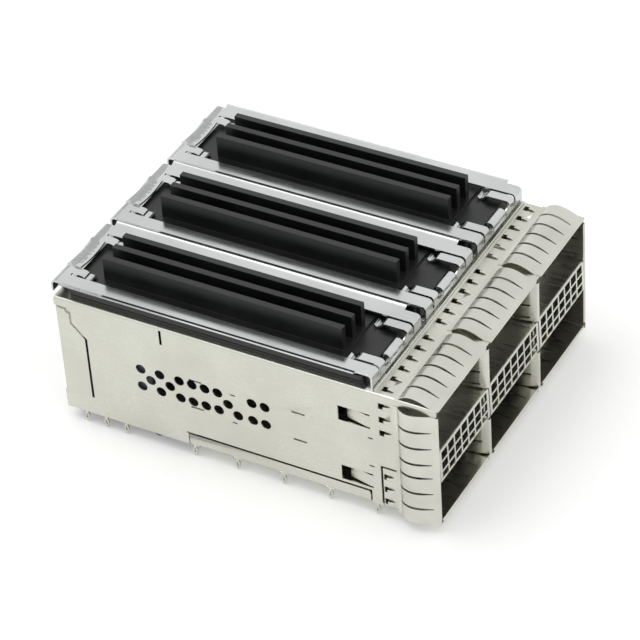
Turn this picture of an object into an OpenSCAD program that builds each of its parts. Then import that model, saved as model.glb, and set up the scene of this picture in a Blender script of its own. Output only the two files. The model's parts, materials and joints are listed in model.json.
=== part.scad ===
// Stacked 2 x 3 pluggable-module cage with riding heat sinks.
// Built the way the real one is: folded sheet shells and dividers, snapped-on
// spring strips, moulded connectors, and a sprung heat sink over each column.
// Working axes: X across the ports, Y from the port face to the rear,
// Z up from the circuit board. place() moves the result to the row frame.

/* [Cage] */
// width over the side walls, mm
cage_w = 59.4; // [50:0.1:70]
// depth from the port edge to the rear corner, mm
cage_d = 76.2; // [60:0.1:90]
// height of the top sheet above the board, mm
cage_h = 25.3; // [20:0.1:30]
// cage sheet thickness, mm
sheet = 0.3; // [0.2:0.05:0.5]
// distance between port columns, mm
pitch = 20.15; // [19:0.05:24]
// outside radius of the long bends, mm
bend_r = 0.6; // [0.4:0.05:1]
// thickness of a folded divider, mm
divider_w = 1.3; // [1:0.05:2]
// how far back the port floor and the dividers run, mm
port_d = 50.3; // [40:0.1:60]

/* [Belly between the ports] */
// underside of the belly's lower plate, mm
belly_z0 = 9.0; // [8.8:0.05:10]
// top of the belly's upper plate, mm
belly_z1 = 15.55; // [15:0.05:17]
// vent holes across one column
mesh_cols = 8; // [4:1:12]
// vent hole rows
mesh_rows = 3; // [2:1:4]

/* [Spring strips] */
// spring strip thickness, mm
strip_t = 0.15; // [0.1:0.01:0.25]
// how far the outer fingers bow out, mm
finger_out = 1.15; // [0.6:0.05:1.5]
// how far the inner fingers bow into a port from above or below, mm
finger_in = 0.85; // [0.3:0.05:1]
// how far the inner fingers bow into a port from its sides, mm
finger_side = 0.35; // [0.2:0.05:0.5]
// length of the fingers, mm
finger_len = 6.3; // [4:0.1:8]

/* [Heat sinks] */
// fins on one heat sink
fins = 3; // [2:1:6]
// fin thickness, mm
fin_t = 1.2; // [0.8:0.05:2]
// distance between fins, mm
fin_pitch = 3.46; // [2.5:0.01:5]
// height of the fin tops above the board, mm
fin_top = 32.4; // [30:0.1:40]
// top of the heat sink's flange, mm
flange_z = 27.7; // [26.5:0.05:28]
// height of the module that pushes the heat sink up, mm
module_h = 8.5; // [8:0.05:9]
// how far a module lifts the heat sink, mm
ride = 0.4; // [0.2:0.05:0.6]

/* [Heat sink clips] */
// top face of the clip's frame, mm
clip_z = 28.7; // [28:0.05:30]
// clip sheet thickness, mm
clip_t = 0.35; // [0.25:0.05:0.5]
// half width of the clip's flat frame, mm
clip_w = 9.1; // [8.5:0.05:9.6]
// inner edge of the side rails, mm
rail_in = 6.5; // [6:0.05:7.5]

/* [Board pins] */
// press-fit pin length below the board plane, mm
pin_len = 2.3; // [1.5:0.1:3.5]
// length of the connectors' locating pegs, mm
peg_len = 2.5; // [1.5:0.1:3.5]
// locating peg radius, mm
peg_r = 0.95; // [0.6:0.05:1.3]

/* [Hidden] */
$fn = 48;
eps = 0.01;

half_w = cage_w / 2;
in_w = half_w - sheet;                    // inner face of a side wall
in_h = cage_h - sheet;                    // underside of the top sheet
front = sheet / 2 + strip_t + 0.03;       // cage sheet starts behind the strips' folds
columns = [-pitch, 0, pitch];
clip_y0 = 12.4;                           // outside of the clip's front wall
clip_y1 = cage_d + clip_t;                // outside of the clip's rear wall
step_z = flange_z - 0.4;                  // top of the flange's stepped front end
step_y = 19.9;                            // where the step is
// side wall pins, front to rear: the second to fifth belong to the bottom cover
shell_pins = [12.55, 63.85, 68.1, 72.2];
cover_pins = [21.9, 31.25, 40.65, 49.4];
divider_pins = [17.2, 26.5, 35.9, 45.3];
belly_tabs = [[26, 28.5], [46.7, 49.2]];  // tabs that key a belly into the walls

// ---- placing and sheet helpers -------------------------------------------

// working axes to the row frame: centred in plan, pin tips at zero
module place() translate([0, -clip_y1 / 2, peg_len]) children();

// outline drawn in Y and Z, extruded along X from x0 to x1
module along_x(x0, x1) translate([x0, 0, 0]) rotate([90, 0, 90]) linear_extrude(x1 - x0) children();

// outline drawn in X and Z, extruded along Y from y0 to y1
module along_y(y0, y1) translate([0, y1, 0]) rotate([90, 0, 0]) linear_extrude(y1 - y0) children();

// outline drawn in X and Y, extruded along Z from z0 to z1
module along_z(z0, z1) translate([0, 0, z0]) linear_extrude(z1 - z0) children();

// both sides of the cage's centre plane
module both_sides() { children(); mirror([1, 0, 0]) children(); }

// rectangle from one corner to the other
module box2(a, b) translate(a) square([b[0] - a[0], b[1] - a[1]]);
module box3(a, b) translate(a) cube([b[0] - a[0], b[1] - a[1], b[2] - a[2]]);

// arch: a rectangle standing on z = 0 with its two top corners rounded
module arch(w, h, r) {
    translate([-w / 2, 0]) square([w, h - r]);
    translate([-w / 2 + r, 0]) square([w - 2 * r, h]);
    for (s = [-1, 1]) translate([s * (w / 2 - r), h - r]) circle(r);
}

// rectangle with four round corners, centred
module round_box(w, h, r) {
    square([w, h - 2 * r], center = true);
    square([w - 2 * r, h], center = true);
    for (sx = [-1, 1], sy = [-1, 1]) translate([sx * (w / 2 - r), sy * (h / 2 - r)]) circle(r);
}

// press-fit pin drawn in Y and Z: shoulders, a split eye that gives, a tapered tip
module pin_outline(y) translate([y, 0]) difference() {
    polygon([[-0.95, 0.4], [-0.95, 0.0], [-0.3, 0.0], [-0.26, -0.35], [-0.46, -0.75], [-0.5, -1.1],
        [-0.46, -1.4], [-0.22, -pin_len + 0.3], [-0.12, -pin_len], [0.12, -pin_len], [0.22, -pin_len + 0.3],
        [0.46, -1.4], [0.5, -1.1], [0.46, -0.75], [0.26, -0.35], [0.3, 0.0], [0.95, 0.0], [0.95, 0.4]]);
    translate([0, -1.1]) square([0.26, 0.7], center = true);
    for (s = [-1, 1]) translate([0, -1.1 + s * 0.35]) circle(0.13);
}

// ---- bowed strip sections ------------------------------------------------

// height of a bowed finger at share s of its length, steep at the rear
function bow(s) = sin(180 * pow(s, 0.76));

// middle line of a strip: flat lip, outer bow, fold round the sheet edge, inner bow
function strip_path(out, in) = let (o = sheet + strip_t / 2, i = -strip_t / 2, r = (o - i) / 2) concat(
    [[8.3, o]],
    [for (k = [0:20]) [7.6 - finger_len * k / 20, o + out * bow(k / 20)]],
    [for (a = [90:20:270]) [front - 0.03 + r * cos(a), (o + i) / 2 + r * sin(a)]],
    [[front + 0.6, i]],
    [for (k = [0:14]) [1.2 + 5.4 * k / 14, i - in * sin(180 * k / 14)]],
    [[7.4, i]]);

// unit direction of a path at point k
function dir(p, k) = let (a = p[max(k - 1, 0)], b = p[min(k + 1, len(p) - 1)], v = b - a) v / norm(v);

// closed ribbon: the path offset half a thickness each way
function ribbon(p, t) = concat(
    [for (k = [0:len(p) - 1]) let (d = dir(p, k)) p[k] + [-d[1], d[0]] * t / 2],
    [for (k = [len(p) - 1:-1:0]) let (d = dir(p, k)) p[k] - [-d[1], d[0]] * t / 2]);

// ---- folded cage parts ---------------------------------------------------

// latch tongue pushed into the port from a wall whose inner face is at x
module latch_tongue(x, t) along_z(-1.25, 1.25) polygon([[x - t, 13.0], [x, 13.0], [x, 13.5],
    [x + 0.85, 17.7], [x + 1.05, 18.0], [x + 0.8, 18.15], [x + 0.5, 17.85], [x - t, 13.6]]);

// window a latch tongue is pushed out of, in Y and Z
module latch_window(z) box2([13.1, z - 1.6], [19.3, z + 1.6]);
latch_rows = [5.05, 18.6];

// square lock holes behind the strips' lips, in one row
module lock_holes_side() for (z = [22.9, 19.85, 16.85, 6.95, 4.1, 1.05]) box2([10.2, z - 0.52], [11.3, z + 0.52]);

// keyed slots that the belly tabs stand in, in Y and Z
module belly_slots() for (t = belly_tabs, z = [belly_z0, belly_z1 - sheet])
    box2([t[0] - 0.06, z], [t[1] + 0.06, z + sheet + 0.1]);

// small lanced barb in front of a lock hole, raised from the face at z = 0
module barb() along_x(-0.36, 0.36) polygon([[8.85, -0.1], [9.3, 0.16], [9.9, 0.24], [10.15, 0.12], [10.2, -0.1]]);

// everything that is pressed out of a side wall, in Y and Z
module side_cuts() {
    for (z = latch_rows) latch_window(z);
    lock_holes_side();
    // vent holes in three staggered rows
    for (y = [59.2, 55.3, 51.3, 48.7, 46.1, 43.5, 36.6, 34.0]) translate([y, 14.4]) circle(1.0);
    for (y = [57.25, 53.3, 41.5]) translate([y, 12.45]) circle(1.0);
    for (y = [59.2, 55.3, 51.3, 48.7, 46.1, 43.5, 39.6, 36.6, 34.0]) translate([y, 10.5]) circle(1.0);
    belly_slots();
    // short locating nicks
    for (y = [13.2, 40.4], z = [8.55, 14.9]) box2([y - 0.5, z - 0.14], [y + 0.5, z + 0.14]);
    // relief slit of the rear corner, and the short slit over it
    box2([73.5, 23.15], [cage_d + 1, 23.5]);
    translate([73.5, 22.9]) circle(0.6);
    polygon([[72.9, 22.9], [73.25, 22.9], [73.25, 20.15], [70.45, 17.35], [70.45, 3.9], [70.1, 3.9], [70.1, 17.5], [72.9, 20.3]]);
    box2([54.1, 21.6], [54.45, 24.7]);
    // room for the bottom cover's upturned edges
    box2([-1, -1], [11.3, 9.15]);
    box2([13.7, -1], [port_d + 0.2, 2.7]);
}

// openings in the top sheet, in X and Y
module top_cuts() for (c = columns) translate([c, 0]) {
    box2([-7.2, 21.2], [7.2, 51.3]);                                  // heat sink pedestal
    for (k = [0:5]) translate([(k - 2.5) * 3.05, 10.75]) square(1.1, center = true);
    for (s = [-1, 1]) translate([s * 5.2, 0]) box2([-1.1, clip_y0], [1.1, clip_y0 + 0.6]);   // clip hooks
}

// top and both sides, folded from one sheet
module cage_shell() place() color([0.79, 0.79, 0.75]) {
    difference() {
        union() {
            along_y(front, cage_d) difference() {
                arch(cage_w, cage_h, bend_r);
                translate([0, -1]) arch(cage_w - 2 * sheet, in_h + 1, bend_r - sheet);
            }
            // rear edges return over the rear cover
            both_sides() along_z(3.9, 23.15) difference() {
                union() {
                    box2([-half_w, cage_d - 2], [-half_w + sheet, cage_d - bend_r]);
                    box2([-half_w + bend_r, cage_d - sheet], [-half_w + 3.2, cage_d]);
                    translate([-half_w + bend_r, cage_d - bend_r]) circle(bend_r);
                }
                translate([-half_w + bend_r, cage_d - bend_r]) circle(bend_r - sheet);
                box2([-half_w + bend_r, cage_d - 2], [-half_w + 4, cage_d - sheet]);
                box2([-half_w + sheet, cage_d - 2], [-half_w + 4, cage_d - bend_r]);
            }
            // raised bead across the top, just in front of the clips
            along_x(-half_w + bend_r, half_w - bend_r) {
                box2([11.8, in_h], [12.2, cage_h + 0.3]);
                translate([12.0, cage_h + 0.3]) circle(0.2);
            }
        }
        along_x(-half_w - 1, half_w + 1) side_cuts();
        along_z(in_h - 2, cage_h + 2) top_cuts();
        // the sharp rear corner of the fold is taken off
        both_sides() box3([-half_w - 1, cage_d - bend_r, 3.9], [-half_w + bend_r, cage_d + 1, 23.15]);
    }
    // rounded rear corner
    both_sides() along_z(3.9, 23.15) intersection() {
        difference() {
            translate([-half_w + bend_r, cage_d - bend_r]) circle(bend_r);
            translate([-half_w + bend_r, cage_d - bend_r]) circle(bend_r - sheet);
        }
        box2([-half_w - 1, cage_d - bend_r], [-half_w + bend_r, cage_d + 1]);
    }
    both_sides() {
        for (z = latch_rows) translate([0, 0, z]) latch_tongue(-in_w, sheet);
        along_x(-half_w, -in_w) for (y = shell_pins) pin_outline(y);
        for (z = [22.9, 19.85, 16.85]) translate([-half_w, 0, z]) rotate([0, -90, 0]) barb();
    }
    for (c = columns, k = [0:5]) translate([c + (k - 2.5) * 3.05, 0, cage_h]) barb();
}

// port floor with upturned edges, folded from one sheet
module bottom_cover() place() color([0.77, 0.77, 0.73]) {
    difference() {
        along_y(front, port_d) rotate(180) translate([0, -9.05]) difference() {
            arch(cage_w, 9.05, bend_r);
            translate([0, -1]) arch(cage_w - 2 * sheet, 9.75, bend_r - sheet);
        }
        both_sides() {
            box3([-half_w - 1, 11.2, -1], [-in_w, 13.8, 10]);                // room for the shell's front leg
            box3([-half_w - 1, 13.8, 2.6], [-in_w + sheet, port_d + 1, 10]);
            along_x(-half_w - 1, -in_w + 0.31) difference() {                // round front corner of the edge
                box2([13, 1.6], [14.85, 10]);
                translate([14.85, 1.6]) circle(1.0);
            }
            // lock holes in line with the ones above
            along_x(-half_w - 1, -in_w + 0.1) for (z = [6.95, 4.1, 1.45]) box2([10.2, z - 0.52], [10.95, z + 0.52]);
        }
        // slots for the dividers' pins and feet
        for (s = [-1, 1], y = divider_pins) translate([s * pitch / 2, y, 0]) cube([1.5, 2.1, 2], center = true);
    }
    both_sides() along_x(-half_w, -in_w) for (y = cover_pins) translate([0, 0.0]) intersection() {
        pin_outline(y);
        box2([0, -pin_len - 1], [port_d, bend_r]);
    }
}

// rear panel with side flanges, folded from one sheet; the clips hook into its upper slots
module rear_cover() place() color([0.75, 0.75, 0.72]) {
    y1 = cage_d - sheet;
    w = 2 * in_w;
    difference() {
        along_z(sheet, in_h - 0.35) difference() {
            union() {
                box2([-w / 2 + bend_r, y1 - bend_r], [w / 2 - bend_r, y1]);
                box2([-w / 2, y1 - 5.2], [w / 2, y1 - bend_r]);
                for (s = [-1, 1]) translate([s * (w / 2 - bend_r), y1 - bend_r]) circle(bend_r);
            }
            box2([-w / 2 + sheet, y1 - 6], [w / 2 - sheet, y1 - bend_r]);
            box2([-w / 2 + bend_r, y1 - 2], [w / 2 - bend_r, y1 - sheet]);
            for (s = [-1, 1]) translate([s * (w / 2 - bend_r), y1 - bend_r]) circle(bend_r - sheet);
        }
        for (c = columns) translate([c, y1, 0]) {
            for (i = [-2.5:2.5], j = [0:2]) translate([i * 2.6, 0, 7 + j * 3.6]) rotate([90, 0, 0])
                cylinder(r = 0.9, h = 3, center = true);
            for (s = [-5.2, 5.2]) translate([s, 0, hook_z - 0.25]) cube([2.2, 3, 0.5], center = true);
        }
    }
    for (c = columns, s = [-5, 5]) translate([c + s, y1, 0]) rotate([0, 0, -90]) along_x(0, sheet) pin_outline(0);
}

// doubled wall between two columns, folded round at the port edge
module divider(x) place() color([0.8, 0.8, 0.76]) translate([x, 0, 0]) {
    r = divider_w / 2;
    y0 = front + 0.25;
    difference() {
        along_z(sheet, in_h) difference() {
            union() {
                translate([0, y0 + r]) circle(r);
                box2([-r, y0 + r], [r, port_d - 0.4]);
            }
            translate([0, y0 + r]) circle(r - sheet);
            box2([-r + sheet, y0 + r], [r - sheet, port_d]);
        }
        along_x(-2, 2) {
            for (z = latch_rows) latch_window(z);
            belly_slots();
            for (y = [34:4:46], z = [11.2, 13.4]) translate([y, z]) circle(0.8);
            for (z = [[-1, sheet + 0.35], [in_h - 0.35, cage_h]]) box2([-1, z[0]], [2.2, z[1]]);
        }
    }
    for (m = [0, 1]) mirror([m, 0, 0]) {
        for (z = latch_rows) translate([0, 0, z]) latch_tongue(r, sheet);
        along_x(r - sheet, r) for (y = divider_pins) pin_outline(y);
    }
}

// belly between the two ports of a column: floor, vented face and ceiling in one fold
module port_belly(c) place() color([0.78, 0.78, 0.74]) translate([c, 0, 0]) {
    w = 9.2;
    y0 = front + 0.25;
    r = 0.55;
    zm = (belly_z0 + belly_z1) / 2;
    face_h = belly_z1 - belly_z0 - 2 * r;
    difference() {
        along_x(-w, w) difference() {
            union() {
                box2([y0 + r, belly_z0], [port_d - 0.9, belly_z1]);
                box2([y0, belly_z0 + r], [y0 + r, belly_z1 - r]);
                for (z = [belly_z0 + r, belly_z1 - r]) translate([y0 + r, z]) circle(r);
            }
            box2([y0 + r, belly_z0 + sheet], [port_d, belly_z1 - sheet]);
            box2([y0 + sheet, belly_z0 + r], [y0 + r + 1, belly_z1 - r]);
            for (z = [belly_z0 + r, belly_z1 - r]) translate([y0 + r, z]) circle(r - sheet);
        }
        // vent mesh
        for (i = [0:mesh_cols - 1], j = [0:mesh_rows - 1])
            translate([(i - (mesh_cols - 1) / 2) * 2.2, y0, zm + (j - (mesh_rows - 1) / 2) * 1.82])
                cube([1.75, 2, 1.42], center = true);
    }
    for (t = belly_tabs, z = [belly_z0, belly_z1 - sheet], s = [-1, 1])
        box3([s > 0 ? w - eps : -9.62, t[0], z], [s > 0 ? 9.62 : -w + eps, t[1], z + sheet]);
}

// ---- spring strips -------------------------------------------------------

// strip over a top or bottom edge: fingers outside against the panel, inside on the module
module edge_strip(c, up) place() color([0.82, 0.82, 0.79]) translate([c, 0, up ? in_h : sheet])
    mirror([0, 0, up ? 0 : 1]) difference() {
        along_x(-9.3, 9.3) polygon(ribbon(strip_path(finger_out, finger_in), strip_t));
        for (k = [-2:2]) box3([k * 3.1 - 0.13, 1.2, -2], [k * 3.1 + 0.13, 7.65, 3]);
        for (s = [-1, 1]) translate([s * 9.3, 0, 0]) box3([-0.65, -1, -2], [0.65, 9, sheet]);   // clear of the corners
    }

// strip over a side wall's front edge
module side_strip(s) place() color([0.82, 0.82, 0.79]) mirror([s > 0 ? 1 : 0, 0, 0]) translate([-in_w, 0, 0]) difference() {
    rotate([0, -90, 0]) along_x(-0.35, 23.95) polygon(ribbon(strip_path(finger_out, finger_side), strip_t));
    for (z = [20.35, 16.75, 13.15, 10.15, 6.55, 3.05]) box3([-3, 1.2, z - 0.13], [3, 7.65, z + 0.13]);
    box3([-0.02, 0.45, belly_z0 - 0.3], [3, 9, belly_z1 + 0.3]);                  // clear of the belly
    for (z = [0, 25.0]) box3([-sheet, -1, z - 1.1], [3, 9, z + 1.1]);             // clear of the corners
}

// strip wrapped round a divider's fold, with fingers into both columns
module divider_strip(x) place() color([0.82, 0.82, 0.79]) translate([x, 0, 0]) {
    r = divider_w / 2 + 0.02;
    yc = front + 0.25 + divider_w / 2;
    lip = divider_w / 2 + strip_t / 2;
    half = concat([[lip + 0.02, yc]], [for (k = [0:14]) [lip + finger_side * sin(180 * k / 14), 1.8 + 4.8 * k / 14]], [[lip, 7.4]]);
    difference() {
        along_z(1.6, 23.4) {
            difference() {
                translate([0, yc]) circle(r + strip_t);
                translate([0, yc]) circle(r);
                box2([-2, yc], [2, yc + 2]);
            }
            for (m = [0, 1]) mirror([m, 0]) polygon(ribbon(half, strip_t));
        }
        for (z = [4.0, 6.4, 18.3, 20.9]) box3([-3, 1.9, z - 0.13], [3, 6.9, z + 0.13]);
        box3([-3, 1.2, belly_z0 - 0.4], [3, 9, belly_z1 + 0.4]);
    }
}

// ---- heat sink and clip --------------------------------------------------

// finned block: pedestal through the cage, flange on the top sheet, fins above
module heat_sink(c) place() color([0.12, 0.12, 0.13]) translate([c, 0, 0]) {
    foot_z = belly_z1 + module_h - ride;      // a seated module pushes this face up by the ride
    difference() {
        union() {
            // flange, lower at its front end
            along_z(cage_h, step_z) translate([0, (14.5 + 73.6) / 2]) round_box(17, 73.6 - 14.5, 1.2);
            along_z(cage_h, flange_z) difference() {
                translate([0, (14.5 + 73.6) / 2]) round_box(17, 73.6 - 14.5, 1.2);
                box2([-9, 14], [9, step_y]);
            }
            box3([-6.9, 22.7, foot_z], [6.9, 51.0, cage_h + 0.1]);
            // a module's nose rides up this ramp
            along_x(-6.9, 6.9) polygon([[21.5, cage_h + 0.1], [21.5, in_h - 0.4], [22.7, foot_z], [23, cage_h + 0.1]]);
            for (k = [0:fins - 1]) translate([(k - (fins - 1) / 2) * fin_pitch, 0, 0])
                box3([-fin_t / 2, 20.6, flange_z - 0.1], [fin_t / 2, 68.5, fin_top]);
        }
        // groove along both flanks of the flange
        for (s = [-1, 1]) translate([s * 8.5, 44, 26.12]) cube([0.5, 70, 0.16], center = true);
    }
}

hook_z = 23.4;                                  // top of the clip's rear hooks

// shoulder and end wall of the clip's frame in Y and Z, down to z
module clip_end_outline(z) {
    r = 0.9;
    difference() {
        union() {
            translate([clip_y0 + r, clip_z - r]) circle(r);
            box2([clip_y0, z], [clip_y0 + clip_t, clip_z - r]);
        }
        translate([clip_y0 + r, clip_z - r]) circle(r - clip_t);
        box2([clip_y0 + r, clip_z - 3], [clip_y0 + 3, clip_z + 1]);
        box2([clip_y0 + clip_t, z - 1], [clip_y0 + 3, clip_z - r]);
    }
}

// an outline drawn for the clip's front end, turned to its rear end
module at_rear() translate([clip_y0 + clip_y1, 0]) mirror([1, 0]) children();

// pressing arm in Y and Z: leaves the frame, drops and curls up at its foot, which rests at z
function arm_path(z) = let (y = clip_y0 + 0.85, top = clip_z - clip_t / 2, foot = z + clip_t / 2 + 0.02) concat(
    [[y, top], [y + 3.4, top]],
    [for (a = [20:20:60]) [y + 3.4 + 1.1 * sin(a), top - 1.1 * (1 - cos(a))]],
    [[y + 4.95, foot + 0.1], [y + 5.2, foot], [y + 5.5, foot + 0.12], [y + 5.75, foot + 0.42]]);

// one-piece spring clip round a heat sink
module heat_sink_clip(c) place() color([0.84, 0.85, 0.85]) translate([c, 0, 0]) {
    z0 = clip_z - clip_t;
    both_sides() {
        // side rail, flared up and out along its outer edge
        box3([-clip_w, clip_y0 + 0.85, z0], [-rail_in, clip_y1 - 0.85, clip_z]);
        along_y(15.5, 74.3) polygon([[-clip_w + 0.1, z0], [-clip_w + 0.1, clip_z], [-clip_w, clip_z], [-10.0, clip_z + 0.4],
            [-10.0, clip_z + 0.4 - clip_t], [-clip_w, z0]]);
        // front end: shoulders, the wall between them and a foot that stands on the cage
        for (x = [[-clip_w, -rail_in], [-5.95, -4.15]]) along_x(x[0], x[1]) clip_end_outline(26.4);
        along_x(-clip_w, -2.6) box2([clip_y0, cage_h + clip_t], [clip_y0 + clip_t, 26.5]);
        along_x(-4.2, -2.6) box2([clip_y0, 26.4], [clip_y0 + clip_t, 27.7]);
        along_x(-clip_w, -6.5) box2([clip_y0, cage_h], [clip_y0 + 1.4, cage_h + clip_t]);
        // hooks through the top sheet
        along_x(-6.2, -4.2) {
            box2([clip_y0, in_h - clip_t], [clip_y0 + clip_t, 26.4]);
            box2([clip_y0, in_h - clip_t], [clip_y0 + 1.2, in_h]);
        }
        // rear end: shoulders, cross bar, and legs that hook into the rear cover
        along_x(-clip_w, -3.9) at_rear() clip_end_outline(26.3);
        box3([-rail_in - 0.1, 74.0, z0], [-3.9, clip_y1 - 0.85, clip_z]);
        along_x(-6.2, -4.2) {
            box2([cage_d, hook_z - clip_t], [clip_y1, 26.4]);
            box2([cage_d - 0.9, hook_z - clip_t], [clip_y1, hook_z]);
        }
        // pressing arms
        along_x(-5.95, -4.15) {
            polygon(ribbon(arm_path(step_z), clip_t));
            at_rear() polygon(ribbon(arm_path(flange_z), clip_t));
        }
    }
    // rear bar, bowed down between the arms
    bow_r = 20;
    for (y = [[73.2, 74.3, 0], [74.3, clip_y1 - 0.5, 0.1]]) along_y(y[0], y[1]) translate([0, clip_z + bow_r * 0.98 - y[2]])
        intersection() {
            difference() {
                circle(bow_r);
                circle(bow_r - clip_t);
            }
            box2([-4.2, -bow_r - 1], [4.2, 0]);
        }
    // front tongue curled over the flange's edge
    along_x(-2.7, 2.7) box2([clip_y0, cage_h + clip_t], [clip_y0 + clip_t, 26.5]);
    along_x(-2.4, 2.4) polygon(ribbon(concat([[clip_y0 + clip_t / 2, 26.4]],
        [for (a = [180:-20:-20]) [clip_y0 + clip_t / 2 + 0.72 * (1 + cos(a)), 27.3 + 0.72 * sin(a)]]), clip_t));
}

// ---- connectors ----------------------------------------------------------

slot_rows = [5.0, 20.1];                       // middle of each card slot
slot_w = 15.9;
slot_h = 1.9;
tail_y = [60.4, 63.2, 66.0, 68.8];             // contact rows at the board

// moulded body with a card slot for each port and two locating pegs
module connector_housing(c) place() color([0.1, 0.1, 0.11]) translate([c, 0, 0]) {
    difference() {
        union() {
            box3([-8.7, 57.5, 0.05], [8.7, cage_d - 2 * sheet, 24.2]);
            for (z = slot_rows) box3([-8.4, 51.6, z - 2.1], [8.4, 58, z + 2.1]);
        }
        box3([-slot_w / 2 - 0.1, 58.9, 1.2], [slot_w / 2 + 0.1, cage_d, 23.6]);         // open rear chamber
        for (z = slot_rows) {
            box3([-slot_w / 2, 51, z - slot_h / 2], [slot_w / 2, 59, z + slot_h / 2]);
            for (s = [-1, 1]) translate([s * 8.4, 51.6, z]) rotate([0, 0, 45]) cube([0.9, 0.9, 5], center = true);
        }
        for (y = tail_y) box3([-slot_w / 2, y - 0.1, -1], [slot_w / 2, y + 0.1, 2]);
        // moulded relief pockets on the flanks
        for (s = [-1, 1], z = [7, 16]) translate([s * 8.7, 65, z]) cube([0.8, 9, 4.5], center = true);
    }
    for (s = [-1, 1]) translate([s * 6.9, 58.35, -peg_len]) {
        cylinder(r1 = peg_r - 0.35, r2 = peg_r, h = 0.4);
        translate([0, 0, 0.4]) cylinder(r = peg_r, h = peg_len - 0.3);
    }
}

// one contact in Y and Z: blade along the slot wall, leg down to the board, tail
module contact_outline(z, side, y) {
    zb = z + side * (slot_h / 2 - 0.1);
    box2([52.6, zb - 0.1], [y + 0.1, zb + 0.1]);
    box2([y - 0.1, -1.5], [y + 0.1, zb]);
    polygon([[y - 0.1, -1.5], [y + 0.1, -1.5], [y + 0.04, -1.9], [y - 0.04, -1.9]]);
}

// both card slots' contacts, at 0.8 mm
module contact_set(c) place() color([0.85, 0.72, 0.4]) translate([c, 0, 0])
    for (k = [-9:9], r = [0:3])
        along_x(k * 0.8 - 0.16, k * 0.8 + 0.16)
            contact_outline(slot_rows[r < 2 ? 0 : 1], r % 2 == 0 ? -1 : 1, tail_y[r]);

// ---- nodes ---------------------------------------------------------------

cage_shell();
bottom_cover();
rear_cover();
divider(-pitch / 2);  // divider_left
divider(pitch / 2);  // divider_right
port_belly(-pitch);  // port_belly_left
port_belly(0);  // port_belly_middle
port_belly(pitch);  // port_belly_right
edge_strip(-pitch, true);  // emi_strip_top_left
edge_strip(0, true);  // emi_strip_top_middle
edge_strip(pitch, true);  // emi_strip_top_right
edge_strip(-pitch, false);  // emi_strip_bottom_left
edge_strip(0, false);  // emi_strip_bottom_middle
edge_strip(pitch, false);  // emi_strip_bottom_right
side_strip(-1);  // emi_strip_side_left
side_strip(1);  // emi_strip_side_right
divider_strip(-pitch / 2);  // emi_strip_divider_left
divider_strip(pitch / 2);  // emi_strip_divider_right
heat_sink(-pitch);  // heat_sink_left
heat_sink(0);  // heat_sink_middle
heat_sink(pitch);  // heat_sink_right
heat_sink_clip(-pitch);  // heat_sink_clip_left
heat_sink_clip(0);  // heat_sink_clip_middle
heat_sink_clip(pitch);  // heat_sink_clip_right
connector_housing(-pitch);  // connector_housing_left
connector_housing(0);  // connector_housing_middle
connector_housing(pitch);  // connector_housing_right
contact_set(-pitch);  // contact_set_left
contact_set(0);  // contact_set_middle
contact_set(pitch);  // contact_set_right
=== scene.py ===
import json
import math

import bmesh
import bpy
import numpy as np
from mathutils import Matrix, Vector


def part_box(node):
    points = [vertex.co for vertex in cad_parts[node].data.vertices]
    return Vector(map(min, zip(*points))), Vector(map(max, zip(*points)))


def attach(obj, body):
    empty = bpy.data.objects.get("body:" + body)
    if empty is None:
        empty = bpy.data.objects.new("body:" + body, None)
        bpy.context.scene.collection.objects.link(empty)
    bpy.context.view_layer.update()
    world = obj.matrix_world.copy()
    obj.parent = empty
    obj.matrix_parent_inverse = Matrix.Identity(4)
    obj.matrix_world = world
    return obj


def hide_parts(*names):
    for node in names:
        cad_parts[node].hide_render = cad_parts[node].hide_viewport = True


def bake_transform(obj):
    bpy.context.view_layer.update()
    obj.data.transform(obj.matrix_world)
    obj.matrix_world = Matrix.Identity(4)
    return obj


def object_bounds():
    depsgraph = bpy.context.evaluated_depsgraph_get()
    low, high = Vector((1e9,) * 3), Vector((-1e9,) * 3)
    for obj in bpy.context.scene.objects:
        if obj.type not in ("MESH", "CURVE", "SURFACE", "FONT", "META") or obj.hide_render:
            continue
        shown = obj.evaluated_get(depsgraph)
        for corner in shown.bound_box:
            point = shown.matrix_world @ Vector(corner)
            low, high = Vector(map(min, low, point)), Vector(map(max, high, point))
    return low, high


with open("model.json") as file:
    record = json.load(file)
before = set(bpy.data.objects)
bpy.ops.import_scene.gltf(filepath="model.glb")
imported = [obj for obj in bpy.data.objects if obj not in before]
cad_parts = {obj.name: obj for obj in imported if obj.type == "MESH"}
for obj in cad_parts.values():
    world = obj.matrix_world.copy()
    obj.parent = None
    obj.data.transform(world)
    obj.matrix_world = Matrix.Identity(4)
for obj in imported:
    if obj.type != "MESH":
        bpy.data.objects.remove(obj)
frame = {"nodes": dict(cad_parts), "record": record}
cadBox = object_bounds()
print("stage: frame loaded,", len(frame["nodes"]), "nodes")

# sizes are millimetres: x across the ports, y back from the port face, z up from the board
mm = 0.001
sheet = 0.3
pinLength = 2.3
weldGap = 0.001
touching = 1e-6
foldAngle = {"new": 35, "copied": 30}                    # degrees, past which a fold stays sharp


def middleOf(node):
    low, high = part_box(node)
    return (low.x + high.x) / 2 / mm


slotOf = {part["node"]: part["material_slot"] for part in frame["record"]["subparts"]}
columns = {side: middleOf(f"heat_sink_{side}") for side in ("left", "middle", "right")}
dividers = {side: middleOf(f"divider_{side}") for side in ("left", "right")}
portFace = cadBox[0].y                                   # front of the spring strips
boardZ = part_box("rear_cover")[0].z + pinLength * mm      # the pins stand below the board's top
topIn = (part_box("divider_left")[1].z - boardZ) / mm      # underside of the top sheet
topOut = topIn + sheet
wallOut = abs(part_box("rear_cover")[0].x) / mm + sheet    # outer face of a side wall
wallIn = wallOut - sheet


def toFrame(points):
    # millimetres from the port face and board to the frame's metres
    return np.asarray(points, float) * mm + np.array([0, portFace, boardZ])


# shapes


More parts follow.
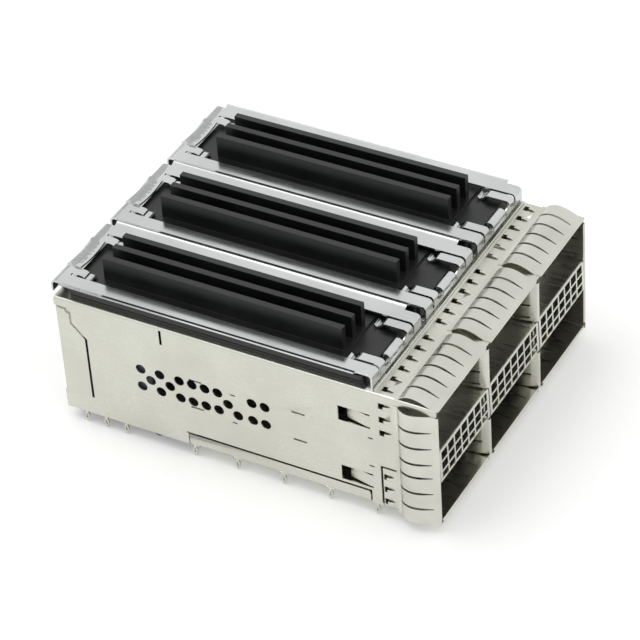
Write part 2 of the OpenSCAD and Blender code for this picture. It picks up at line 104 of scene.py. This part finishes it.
def gridFaces(rows, cols):
    # quads between neighbouring rows and columns of a grid of points
    i = np.arange((rows - 1) * (cols - 1))
    a = i // (cols - 1) * cols + i % (cols - 1)
    return np.stack([a, a + 1, a + cols + 1, a + cols], axis=1)


def sheetAlong(path, low, high, across=5):
    # point(u, v): path(u) in y and z, low + v * (high - low) in x
    path = np.asarray(path, float)
    x = np.tile(low + np.linspace(0, 1, across) * (high - low), (len(path), 1))
    y, z = (np.repeat(path[:, k:k + 1], across, axis=1) for k in (0, 1))
    return np.stack([x, y, z], axis=-1).reshape(-1, 3), gridFaces(len(path), across).tolist()


def prism(outline, low, high, axis):
    # outline(u) in the two other axes, carried along the axis from low to high, capped at both ends
    outline = np.asarray(outline, float)
    n = len(outline)
    ends = [np.insert(outline, axis, place, axis=1) for place in (low, high)]
    k = np.arange(n)
    walls = np.stack([k, (k + 1) % n, (k + 1) % n + n, k + n], axis=1).tolist()
    return np.concatenate(ends), walls + [list(range(n))[::-1], list(range(n, 2 * n))]


def ribbon(path, width):
    # both sides of a path, half the width away along its normals
    path = np.asarray(path, float)
    along = np.gradient(path, axis=0)
    along /= np.linalg.norm(along, axis=1)[:, None]
    normal = np.stack([-along[:, 1], along[:, 0]], axis=1) * width / 2
    return np.concatenate([path + normal, (path - normal)[::-1]])


def rectangle(low, high):
    return [(low[0], low[1]), (high[0], low[1]), (high[0], high[1]), (low[0], high[1])]


def joined(shapes):
    # several (points, faces) shapes as one
    points, faces, start = [], [], 0
    for shapePoints, shapeFaces in shapes:
        points.append(shapePoints)
        faces += [[start + k for k in face] for face in shapeFaces]
        start += len(shapePoints)
    return np.concatenate(points), faces


# pieces


def addMesh(name, points, faces):
    mesh = bpy.data.meshes.new(name)
    mesh.from_pydata(points.tolist(), [], [list(face) for face in faces])
    mesh.update()
    piece = bpy.data.objects.new(name, mesh)
    bpy.context.scene.collection.objects.link(piece)
    return piece


def closedSolids(name, shapes):
    # closed shapes as one mesh, faces turned outwards
    points, faces = joined(shapes)
    piece = addMesh(name, toFrame(points), faces)
    piece.data.validate()
    solid = bmesh.new()
    solid.from_mesh(piece.data)
    bmesh.ops.recalc_face_normals(solid, faces=solid.faces)
    solid.to_mesh(piece.data)
    solid.free()
    return piece


def mergedCopy(name, node):
    # a CAD node's solid with its loose triangles joined up
    piece = bpy.data.objects.new(name, frame["nodes"][node].data.copy())
    bpy.context.scene.collection.objects.link(piece)
    piece.modifiers.new("weld", "WELD").merge_threshold = weldGap * mm
    return piece


def settle(piece, kind):
    # modifiers made permanent, folds over the kind's angle kept sharp
    graph = bpy.context.evaluated_depsgraph_get()
    mesh = bpy.data.meshes.new_from_object(piece.evaluated_get(graph))
    piece.modifiers.clear()
    piece.data = mesh
    mesh.shade_smooth()
    mesh.set_sharp_from_angle(angle=math.radians(foldAngle[kind]))


def standFor(piece, node):
    # the piece takes the CAD node's place and finish
    piece.data.materials.clear()
    piece.data.materials.append(finishes[slotOf[node]])
    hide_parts(node)


def foldedPiece(name, shape, node, thickness):
    # a surface thickened both ways, held by the cage
    points, faces = shape
    piece = addMesh(name, toFrame(points), faces)
    wall = piece.modifiers.new("thickness", "SOLIDIFY")
    wall.thickness = thickness * mm
    wall.offset = 0
    wall.use_even_offset = True
    settle(piece, "new")
    standFor(piece, node)
    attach(piece, "cage")


# materials


def linear(code):
    # sRGB hex to linear, by the sRGB curve
    c = np.array([int(code[i:i + 2], 16) for i in (1, 3, 5)]) / 255
    return tuple(np.where(c <= 0.04045, c / 12.92, ((c + 0.055) / 1.055) ** 2.4)) + (1.0,)


def addNode(tree, kind, values=None, links=None, **settings):
    # one node with its settings, socket values and incoming links
    node = tree.nodes.new(kind)
    for key, value in settings.items():
        setattr(node, key, value)
    for key, value in (values or {}).items():
        node.inputs[key].default_value = value
    for key, source in (links or {}).items():
        tree.links.new(source, node.inputs[key])
    return node


def newMaterial(name, shader):
    material = bpy.data.materials.new(name)
    material.use_nodes = True
    tree = material.node_tree
    tree.nodes.clear()
    surface = addNode(tree, "ShaderNodeBsdfPrincipled", shader)
    addNode(tree, "ShaderNodeOutputMaterial", links={"Surface": surface.outputs[0]})
    return material, tree, surface


def grainedFinish(name, shader, look):
    # cloudy tone at the size of handling marks, and fine lines along the rolling or drawing direction
    material, tree, surface = newMaterial(name, shader)
    place = addNode(tree, "ShaderNodeTexCoord").outputs["Object"]
    cloud = addNode(tree, "ShaderNodeTexNoise", {"Scale": 1 / (look["cloudSize"] * mm), "Detail": 4},
                    {"Vector": place})
    spread = addNode(tree, "ShaderNodeMapping", {"Scale": look["stretch"]}, {"Vector": place})
    lines = addNode(tree, "ShaderNodeTexNoise", {"Scale": 1 / (look["lineSize"] * mm), "Detail": 2},
                    {"Vector": spread.outputs[0]})
    tone = addNode(tree, "ShaderNodeMapRange", {"From Min": 0.3, "From Max": 0.7},
                   {"Value": cloud.outputs["Fac"]})
    dark, pale = (linear(code) for code in look["colours"])
    colour = addNode(tree, "ShaderNodeMix", {6: dark, 7: pale}, {0: tone.outputs[0]}, data_type="RGBA")
    both = addNode(tree, "ShaderNodeMath", links={0: cloud.outputs["Fac"], 1: lines.outputs["Fac"]},
                   operation="ADD")
    low, high = look["rough"]
    dull = addNode(tree, "ShaderNodeMapRange",
                   {"From Min": 0.7, "From Max": 1.3, "To Min": low, "To Max": high},
                   {"Value": both.outputs[0]})
    rounded = addNode(tree, "ShaderNodeBevel", {"Radius": look["edge"] * mm}, samples=4)
    bump = addNode(tree, "ShaderNodeBump", {"Strength": look["bump"], "Distance": 0.02 * mm},
                   {"Height": lines.outputs["Fac"], "Normal": rounded.outputs[0]})
    tree.links.new(colour.outputs[2], surface.inputs["Base Color"])
    tree.links.new(dull.outputs[0], surface.inputs["Roughness"])
    tree.links.new(bump.outputs[0], surface.inputs["Normal"])
    return material


# sizes of clouds, lines and rounded edges in millimetres; stretch draws the lines out where it is small
finishes = {
    # nickel over rolled steel: satin, faintly warm, cloudy where it was handled
    "sheet": grainedFinish("nickel_plated_sheet", {"Metallic": 1.0}, {
        "colours": ("#D2D2C8", "#C8C8BD"), "rough": (0.24, 0.34), "cloudSize": 12, "lineSize": 0.6,
        "stretch": (1, 0.06, 1), "edge": 0.1, "bump": 0.05}),
    # spring steel strip, plated after stamping: brighter, drawn out along the fingers
    "spring_strip": grainedFinish("plated_spring_strip", {"Metallic": 1.0}, {
        "colours": ("#D6D5CD", "#C6C5BC"), "rough": (0.16, 0.26), "cloudSize": 9, "lineSize": 0.5,
        "stretch": (1, 0.08, 1), "edge": 0.03, "bump": 0.05}),
    # bright rolled stainless: close to a mirror, so the dark fins show in it
    "clip": grainedFinish("bright_spring_stainless", {"Metallic": 1.0}, {
        "colours": ("#D3D5D5", "#C4C6C6"), "rough": (0.12, 0.22), "cloudSize": 12, "lineSize": 0.4,
        "stretch": (1, 0.05, 1), "edge": 0.07, "bump": 0.06}),
    # black anodised extrusion: near-black satin oxide, faint draw lines along the fins
    "heat_sink": grainedFinish("black_anodised_aluminium", {"Metallic": 0.0, "IOR": 1.5}, {
        "colours": ("#0E0F10", "#151617"), "rough": (0.3, 0.42), "cloudSize": 8, "lineSize": 0.4,
        "stretch": (1, 0.03, 1), "edge": 0.12, "bump": 0.08}),
    # glass-filled liquid-crystal polymer: slate, with a dull moulded grain
    "housing": grainedFinish("moulded_lcp", {"Metallic": 0.0, "IOR": 1.55}, {
        "colours": ("#4A4D5E", "#555868"), "rough": (0.5, 0.62), "cloudSize": 5, "lineSize": 0.5,
        "stretch": (1, 1, 1), "edge": 0.05, "bump": 0.15}),
    # thin gold over nickel on stamped contacts: warm and bright, lines along the blades
    "contact": grainedFinish("gold_flashed_contact", {"Metallic": 1.0}, {
        "colours": ("#E2BE6B", "#D4AE5C"), "rough": (0.22, 0.32), "cloudSize": 4, "lineSize": 0.5,
        "stretch": (1, 1, 0.1), "edge": 0.03, "bump": 0.04})}
for node, obj in frame["nodes"].items():
    obj.data.materials.clear()
    obj.data.materials.append(finishes[slotOf[node]])
print("stage: materials on", len(frame["nodes"]), "nodes")

# spring strips: depths from the port face, bows from the sheet; taper is a slit's share of its width by depth
strip = {"thickness": 0.15, "outer": 1.15, "inner": 0.12, "rear": 8.3, "bowRear": 7.6, "bowFront": 1.3,
         "leafFront": 1.2, "leafLength": 5.4, "leafRear": 7.4, "half": 9.3, "innerHalf": 8.65, "pitch": 3.1,
         "slit": 0.5, "slitRear": 7.65, "slitFront": 1.2, "taper": ([1.2, 3.4], [0.3, 1]), "bowPower": 0.76,
         "steps": {"bow": 40, "fold": 13, "leaf": 16, "across": 7}}


def bow(share):
    # rise of a finger along its length: sin(pi * share ^ power), steep at the rear
    return np.sin(np.pi * share ** strip["bowPower"])


def stripPath():
    # (depth, height) along a strip: rear lip, outer bow, half circle round the sheet's edge, inner leaf
    s, steps = strip, strip["steps"]
    out, under = sheet + s["thickness"] / 2, -s["thickness"] / 2
    share = np.linspace(0, 1, steps["bow"])
    outer = np.stack([s["bowRear"] + (s["bowFront"] - s["bowRear"]) * share,
                      out + s["outer"] * bow(share)], axis=1)
    turn = np.radians(np.linspace(90, 270, steps["fold"]))
    radius = (out - under) / 2
    fold = np.stack([sheet / 2 + s["thickness"] + radius * np.cos(turn),
                     (out + under) / 2 + radius * np.sin(turn)], axis=1)
    share = np.linspace(0, 1, steps["leaf"])
    leaf = np.stack([s["leafFront"] + s["leafLength"] * share,
                     under - s["inner"] * np.sin(np.pi * share)], axis=1)
    return np.concatenate([[[s["rear"], out]], outer, fold, leaf, [[s["leafRear"], under]]])


def slitSheet(path, span, slits, dropped):
    # point(u, w): path(u) in depth and height, w across; a slit's edges are its middle +- half * taper(depth),
    # and faces between them, or where dropped(w, depth, height) holds, are left out
    half = strip["slit"] / 2
    edges = sorted([*span] + [c + side * half for c in slits for side in (-1, 1)])
    spans = [np.linspace(a, b, strip["steps"]["across"])[:-1] for a, b in zip(edges[:-1], edges[1:])]
    across = np.concatenate(spans + [[edges[-1]]])
    w, k = np.meshgrid(across, np.arange(len(path)))
    depth, height = path[k][..., 0], path[k][..., 1]
    taper = np.interp(depth, *strip["taper"])
    for c in slits:
        w = np.where(abs(w - c) <= half + touching, c + (w - c) * taper, w)
    points = np.stack([w, depth, height], axis=-1).reshape(-1, 3)
    faces = gridFaces(len(path), len(across))
    across, depth, height = points[faces].mean(axis=1).T
    gone = dropped(across, depth, height)
    alongSlit = (depth > strip["slitFront"]) & (depth < strip["slitRear"])
    for c in slits:
        gone |= alongSlit & (abs(across - c) < half * np.interp(depth, *strip["taper"]))
    used = np.unique(faces[~gone])
    index = np.zeros(len(points), int)
    index[used] = np.arange(len(used))
    return points[used], index[faces[~gone]]


def pastInnerEdge(w, depth, height):
    # the inner leaf stops short of the corners
    return (height < sheet / 2) & (abs(w) > strip["innerHalf"])


edgeSlits = [k * strip["pitch"] for k in range(-2, 3)]
points, faces = slitSheet(stripPath(), (-strip["half"], strip["half"]), edgeSlits, pastInnerEdge)
for side, x in columns.items():
    for edge, base, turn in (("top", topIn, 1), ("bottom", sheet, -1)):
        placed = np.stack([x + points[:, 0], points[:, 1], base + turn * points[:, 2]], axis=1)
        turned = faces if turn > 0 else faces[:, ::-1]
        foldedPiece(f"spring_fingers_{edge}_{side}", (placed, turned.tolist()), f"emi_strip_{edge}_{side}",
                    strip["thickness"])

# side strips: heights from the board; the inner leaf leaves room for the corners and the belly
sideStrip = {"low": -0.35, "high": 23.95, "slits": [20.35, 16.75, 13.15, 10.15, 6.55, 3.05], "innerLow": 1.1,
             "innerHigh": 23.8, "bellyMiddle": 12.3, "bellyHalf": 3.6, "bellyFront": 0.5}


def pastInnerSide(w, depth, height):
    s = sideStrip
    belly = (abs(w - s["bellyMiddle"]) < s["bellyHalf"]) & (depth > s["bellyFront"])
    return (height < sheet / 2) & ((w < s["innerLow"]) | (w > s["innerHigh"]) | belly)


span = (sideStrip["low"], sideStrip["high"])
points, faces = slitSheet(stripPath(), span, sideStrip["slits"], pastInnerSide)
for side, turn in (("left", -1), ("right", 1)):
    placed = np.stack([turn * (wallIn + points[:, 2]), points[:, 1], points[:, 0]], axis=1)
    turned = faces if turn < 0 else faces[:, ::-1]
    foldedPiece(f"spring_fingers_side_{side}", (placed, turned.tolist()), f"emi_strip_side_{side}",
                strip["thickness"])

# strips round the dividers: a narrow nose, then fingers bowed into both columns, cut out round the belly
nose = {"radius": 0.34, "front": 0.08, "side": 0.74, "bow": 0.5, "bowFront": 1.4, "bowLength": 5.2,
        "rear": 7.4, "low": 0.75, "high": 24.4, "slits": [3.5, 6.7, 16.7, 19.4, 22.4], "slitHalf": 0.19,
        "slitFront": 1.1, "slitRear": 6.6, "bellyLow": 8.6, "bellyHigh": 15.95, "bellyRear": 6.9,
        "steps": {"round": 9, "bow": 20, "high": 60}}
turn = np.radians(np.linspace(270, 350, nose["steps"]["round"]))
share = np.linspace(0, 1, nose["steps"]["bow"])
noseRound = nose["radius"] * np.stack([np.cos(turn), np.sin(turn)], axis=1)
noseRound += [0, nose["radius"] + nose["front"]]
bowed = np.stack([nose["side"] + nose["bow"] * bow(1 - share),
                  nose["bowFront"] + nose["bowLength"] * share], axis=1)
flank = np.concatenate([noseRound, bowed, [[nose["side"], nose["rear"]]]])
wrap = np.concatenate([(flank * [-1, 1])[:0:-1], flank])
slitEdges = [[c - nose["slitHalf"], c + nose["slitHalf"]] for c in nose["slits"]]
z = np.unique(np.concatenate([np.linspace(nose["low"], nose["high"], nose["steps"]["high"])] + slitEdges
                             + [[nose["bellyLow"], nose["bellyHigh"]]]))
k, height = np.meshgrid(np.arange(len(wrap)), z, indexing="ij")
points = np.stack([wrap[k][..., 0], wrap[k][..., 1], height], axis=-1).reshape(-1, 3)
faces = gridFaces(len(wrap), len(z))
_, depth, height = points[faces].mean(axis=1).T
gone = (height > nose["bellyLow"]) & (height < nose["bellyHigh"]) & (depth < nose["bellyRear"])
for c in nose["slits"]:
    gone |= (abs(height - c) < nose["slitHalf"]) & (depth > nose["slitFront"]) & (depth < nose["slitRear"])
for side, x in dividers.items():
    foldedPiece(f"spring_fingers_divider_{side}", (points + [x, 0, 0], faces[~gone].tolist()),
                f"emi_strip_divider_{side}", strip["thickness"])
print("stage: spring strips")

# bellies: floor, leaning vented face and ceiling in one fold; the face reaches past the body on both sides
belly = {"low": 9.0, "high": 15.55, "foot": 0.15, "lean": 0.2, "bend": 0.25, "columns": 7, "rows": 3,
         "bar": 0.4, "end": 0.75, "edge": 0.35, "body": 9.2, "rear": 49.4, "reachWall": 9.05,
         "reachDivider": 9.9, "bendSteps": 5}
floorMiddle, ceilingMiddle = belly["low"] + sheet / 2, belly["high"] - sheet / 2
turn = np.radians(np.linspace(270, 180, belly["bendSteps"]))
lower = np.stack([belly["foot"] + belly["bend"] * (1 + np.cos(turn)),
                  floorMiddle + belly["bend"] * (1 + np.sin(turn))], axis=1)
upper = (lower * [1, -1] + [belly["lean"], floorMiddle + ceilingMiddle])[::-1]
rowPitch = (belly["high"] - belly["low"] - 2 * belly["edge"] + belly["bar"]) / belly["rows"]
rowStarts = [belly["low"] + belly["edge"] + k * rowPitch for k in range(belly["rows"] + 1)]
rise = np.array([start - back for start in rowStarts for back in (belly["bar"], 0)][1:-1])
slope = np.stack([np.interp(rise, [lower[-1, 1], upper[0, 1]], [lower[-1, 0], upper[0, 0]]), rise], axis=1)
facePath = np.concatenate([lower, slope[(rise > lower[-1, 1]) & (rise < upper[0, 1])], upper])
for side, x in columns.items():
    reach = [belly["reachWall"] if s * x > belly["body"] else belly["reachDivider"] for s in (-1, 1)]
    step = (sum(reach) - 2 * belly["end"] + belly["bar"]) / belly["columns"]
    holes = [(-reach[0] + belly["end"] + k * step, -reach[0] + belly["end"] + (k + 1) * step - belly["bar"])
             for k in range(belly["columns"])]
    across = np.array(sorted([-reach[0], reach[1]] + [edge for hole in holes for edge in hole]))
    w, k = np.meshgrid(across, np.arange(len(facePath)))
    points = np.stack([x + w, facePath[k][..., 0], facePath[k][..., 1]], axis=-1).reshape(-1, 3)
    faces = gridFaces(len(facePath), len(across))
    middleX, _, middleZ = points[faces].mean(axis=1).T
    inHole = np.zeros(len(faces), bool)
    for low, high in holes:
        for start in rowStarts[:-1]:
            inHole |= (middleX - x > low) & (middleX - x < high) & (middleZ > start) \
                & (middleZ < start + rowPitch - belly["bar"])
    plates = [sheetAlong([(y, z), (belly["rear"], z)], x - belly["body"], x + belly["body"])
              for y, z in (lower[0], upper[-1])]
    foldedPiece(f"vented_belly_{side}", joined([(points, faces[~inHole].tolist())] + plates),
                f"port_belly_{side}", sheet)
print("stage: bellies")


# folded sheets: slits widened to what shows, and open straps before the lock holes
def carvedSheet(name, node, cutters, straps):
    piece = mergedCopy(name, node)
    tool = closedSolids(name + "_cutter", cutters)
    cut = piece.modifiers.new("cut", "BOOLEAN")
    cut.operation, cut.solver, cut.object, cut.use_self = "DIFFERENCE", "EXACT", tool, True
    settle(piece, "copied")
    bpy.data.objects.remove(tool)
    formed = closedSolids(name + "_straps", straps)
    bpy.ops.object.select_all(action="DESELECT")
    piece.select_set(True)
    formed.select_set(True)
    bpy.context.view_layer.objects.active = piece
    bpy.ops.object.join()
    standFor(piece, node)
    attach(piece, "cage")


# lock holes, in y and across a row; high rows are in the shell's walls, low ones in the port floor's ears
lock = {"half": 0.64, "front": 10.1, "rear": 11.36, "earRear": 10.95, "slotHalf": 0.38, "slotFront": 8.85,
        "perColumn": 6, "pitch": 3.05, "high": [22.9, 19.85, 16.85], "low": [6.95, 4.1, 1.35],
        "strapHalf": 0.33, "strapThick": 0.2,
        "strapPath": [(8.5, -0.15), (8.9, -0.08), (9.25, 0.2), (9.8, 0.34), (10.2, 0.3)]}
halfHole = [(lock["slotFront"], lock["slotHalf"]), (lock["front"], lock["slotHalf"]),
            (lock["front"], lock["half"]), (lock["rear"], lock["half"])]
holeOutline = np.array([(y, -across) for y, across in halfHole] + halfHole[::-1])
strapPoints, strapFaces = prism(ribbon(lock["strapPath"], lock["strapThick"]), -lock["strapHalf"],
                                lock["strapHalf"], 0)

# slits in a side wall, in y and z; gaps run between the shell and the port floor's ears and upturned edges
slit = {"relief": ribbon([(73.07, 23.3), (73.07, 20.22), (70.27, 17.42), (70.27, 3.88)], 0.5),
        "corner": rectangle((73.4, 23.08), (77.5, 23.55)), "short": rectangle((54.05, 21.6), (54.55, 24.75)),
        "ear": [(-1, 9.05), (11.2, 9.05), (11.2, 0.62), (11.5, 0.62), (11.5, 9.3), (-1, 9.3)],
        "edge": [(13.45, 0.62), (13.75, 0.62), (13.75, 2.6), (50.75, 2.6), (50.75, 2.9), (13.45, 2.9)],
        "floorEar": [(-1, 8.85), (11.08, 8.85), (11.08, 0.62), (11.4, 0.62), (11.4, 9.2), (-1, 9.2)],
        "floorEdge": rectangle((13.0, 2.45), (51.5, 2.8)), "inside": 0.1, "outside": 0.3}
shellCuts, floorCuts, shellStraps, floorStraps = [], [], [], []
for turn in (-1, 1):
    span = sorted((turn * (wallIn - slit["inside"]), turn * (wallOut + slit["outside"])))
    for gap in ("relief", "corner", "short", "ear", "edge"):
        shellCuts.append(prism(slit[gap], *span, 0))
    for z in lock["high"]:
        shellCuts.append(prism(holeOutline + [0, z], *span, 0))
    for gap in ("floorEar", "floorEdge"):
        floorCuts.append(prism(slit[gap], *span, 0))
    for z in lock["low"]:
        floorCuts.append(prism(np.minimum(holeOutline + [0, z], [lock["earRear"], np.inf]), *span, 0))
    for rows, straps in ((lock["high"], shellStraps), (lock["low"], floorStraps)):
        for z in rows:
            x, y, up = strapPoints.T
            straps.append((np.stack([turn * (wallOut + up), y, z + x], axis=1), strapFaces))
top = (topIn - slit["inside"], topOut + slit["outside"])
for x in columns.values():
    for k in range(lock["perColumn"]):
        holeX = x + (k - (lock["perColumn"] - 1) / 2) * lock["pitch"]
        shellCuts.append(prism(holeOutline[:, ::-1] + [holeX, 0], *top, 2))
        shellStraps.append((strapPoints + [holeX, 0, topOut], strapFaces))
carvedSheet("folded_shell", "cage_shell", shellCuts, shellStraps)
carvedSheet("port_floor", "bottom_cover", floorCuts, floorStraps)
print("stage: folded sheets")

# clips: each CAD clip copied with its loose triangles joined and its folds kept sharp, in its node's place
for side in columns:
    piece = mergedCopy(f"sprung_clip_{side}", f"heat_sink_clip_{side}")
    settle(piece, "copied")
    standFor(piece, f"heat_sink_clip_{side}")
    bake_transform(piece)
print("stage: clips")

# camera: angles in degrees, lengths in millimetres, aim from the port face at board level
shot = {"azimuth": -58.973, "elevation": 38.781, "roll": -4.197, "distance": 558.338, "lens": 172.53,
        "sensor": 36, "aim": (0.349, 39.54, 10.0)}
azimuth, elevation, roll = (math.radians(shot[angle]) for angle in ("azimuth", "elevation", "roll"))
back = Vector((math.sin(azimuth) * math.cos(elevation), -math.cos(azimuth) * math.cos(elevation),
               math.sin(elevation)))
cameraData = bpy.data.cameras.new("camera")
cameraData.lens, cameraData.sensor_width = shot["lens"], shot["sensor"]
cameraData.clip_start, cameraData.clip_end = 0.01, 10
camera = bpy.data.objects.new("camera", cameraData)
bpy.context.scene.collection.objects.link(camera)
place = Vector(toFrame(shot["aim"])) + back * shot["distance"] * mm
look = (-back).to_track_quat("-Z", "Y").to_matrix().to_4x4()
camera.matrix_world = Matrix.Translation(place) @ look @ Matrix.Rotation(roll, 4, "Z")
bpy.context.scene.camera = camera
bpy.context.scene.view_settings.view_transform = "Standard"

# light: watts for the boxes, places and sizes in metres
light = {"worldColour": "#EDEEEE", "world": 0.85, "floorLift": 0.2, "target": (0, 0, 0.01),
         "top_box": {"power": 1.3, "place": (-0.1, 0.15, 0.7), "size": (0.5, 0.5)},
         "front_box": {"power": 0.8, "place": (-0.25, -0.7, 0.35), "size": (0.5, 0.4)}}


def seenDirectly(tree):
    # 1 for rays from the camera and for what metal or glass shows, 0 for light that falls on the object
    ray = addNode(tree, "ShaderNodeLightPath").outputs
    shown = addNode(tree, "ShaderNodeMath", links={0: ray["Is Camera Ray"], 1: ray["Is Glossy Ray"]},
                    operation="MAXIMUM")
    return addNode(tree, "ShaderNodeMath", links={0: shown.outputs[0], 1: ray["Is Transmission Ray"]},
                   operation="MAXIMUM").outputs[0]


world = bpy.data.worlds.new("studio")
bpy.context.scene.world = world
world.use_nodes = True
world.node_tree.nodes.clear()
lit = addNode(world.node_tree, "ShaderNodeBackground",
              {"Color": linear(light["worldColour"]), "Strength": light["world"]})
white = addNode(world.node_tree, "ShaderNodeBackground", {"Color": (1, 1, 1, 1), "Strength": 1.0})
mixed = addNode(world.node_tree, "ShaderNodeMixShader",
                links={0: seenDirectly(world.node_tree), 1: lit.outputs[0], 2: white.outputs[0]})
addNode(world.node_tree, "ShaderNodeOutputWorld", links={"Surface": mixed.outputs[0]})

for name in ("top_box", "front_box"):
    settings = light[name]
    lamp = bpy.data.lights.new(name, "AREA")
    lamp.shape, lamp.energy = "RECTANGLE", settings["power"]
    lamp.size, lamp.size_y = settings["size"]
    box = bpy.data.objects.new(name, lamp)
    bpy.context.scene.collection.objects.link(box)
    box.location = settings["place"]
    box.rotation_mode = "QUATERNION"
    aim = Vector(light["target"]) - Vector(settings["place"])
    box.rotation_quaternion = aim.to_track_quat("-Z", "Y")

# matt paper sweep: white where the camera sees it, dimmer only in the object's shadow
paper = {"colour": "#F6F6F5", "rough": 0.8, "reach": 3.0, "drop": 0.05}
shader = {"Base Color": linear(paper["colour"]), "Roughness": paper["rough"]}
floorMaterial, tree, surface = newMaterial("paper_floor", shader)
lift = addNode(tree, "ShaderNodeMath", {1: light["floorLift"]}, {0: seenDirectly(tree)}, operation="MULTIPLY")
surface.inputs["Emission Color"].default_value = (1, 1, 1, 1)
tree.links.new(lift.outputs[0], surface.inputs["Emission Strength"])
corners = rectangle((-paper["reach"], -paper["reach"]), (paper["reach"], paper["reach"]))
floorPoints = np.array([(x, y, cadBox[0].z - paper["drop"] * mm) for x, y in corners])
floorPiece = addMesh("floor", floorPoints, [(0, 1, 2, 3)])
floorPiece.data.materials.append(floorMaterial)
print("stage: camera, floor and light")
